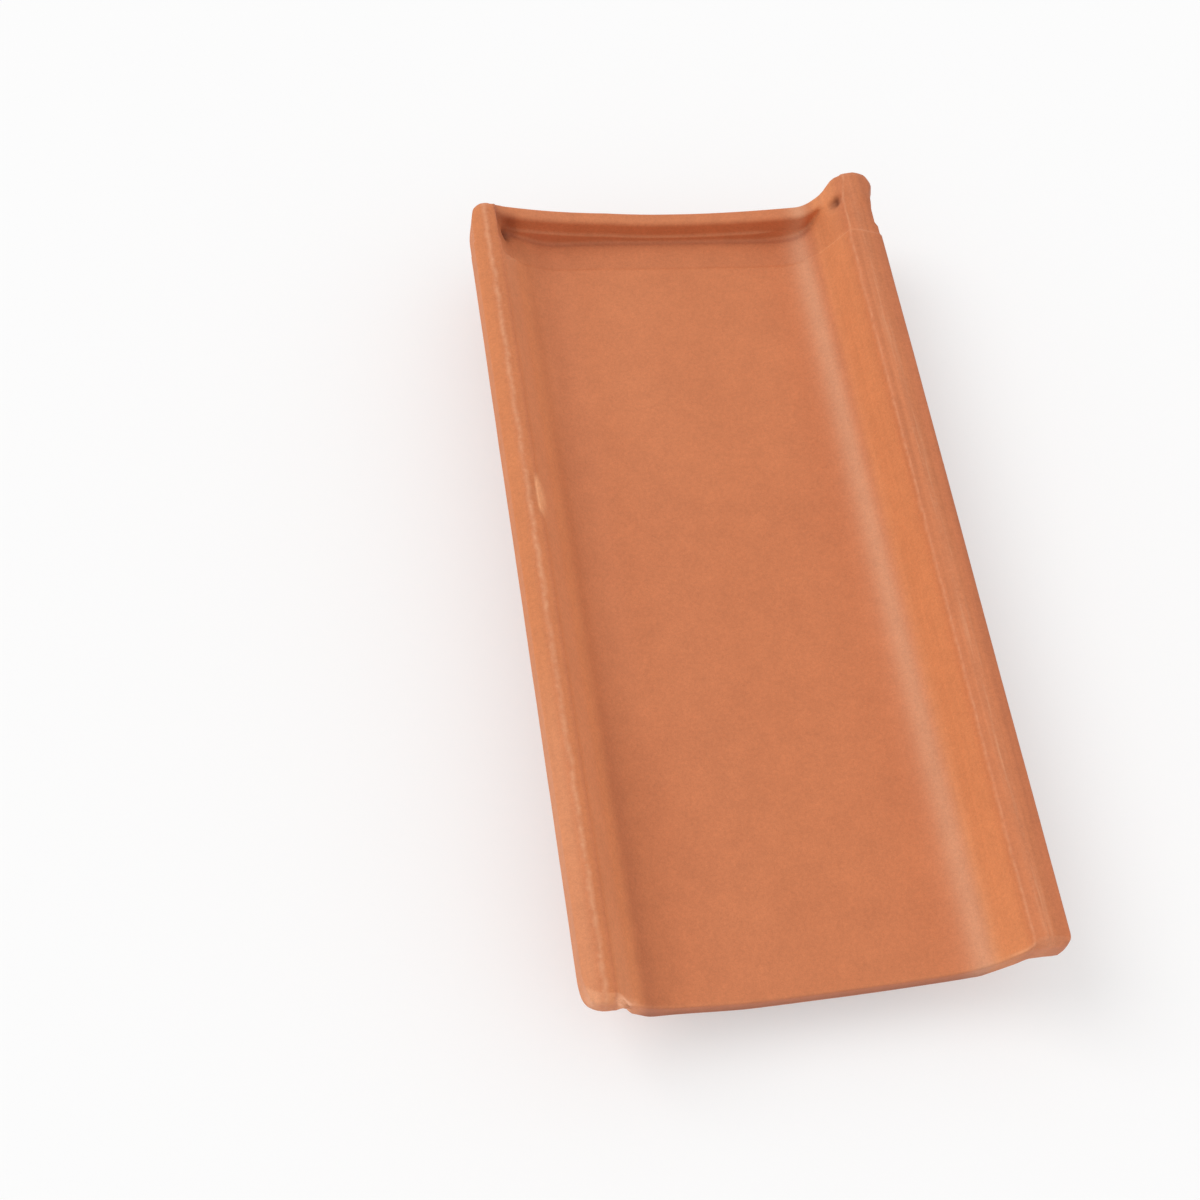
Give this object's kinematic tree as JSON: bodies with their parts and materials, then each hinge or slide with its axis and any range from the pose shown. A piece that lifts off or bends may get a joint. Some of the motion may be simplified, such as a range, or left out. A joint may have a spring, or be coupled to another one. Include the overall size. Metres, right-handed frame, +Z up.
{
  "type": "roof tile",
  "caption": "Fired clay pan tile: a shallow dished trough between raised side ledges, with a lip across the head and short feet beneath.",
  "frame": {"origin": "middle of the tile's outline on the floor it lies on", "axes": "+X across the tile, +Y along it towards the head with the lip, +Z up out of the trough"},
  "size_m": [0.205, 0.4, 0.0615],
  "materials": {
    "clay": "unglazed matt terracotta with fine grain"
  },
  "bodies": {
    "root": {"roof_tile": "clay"}
  },
  "joints": []
}
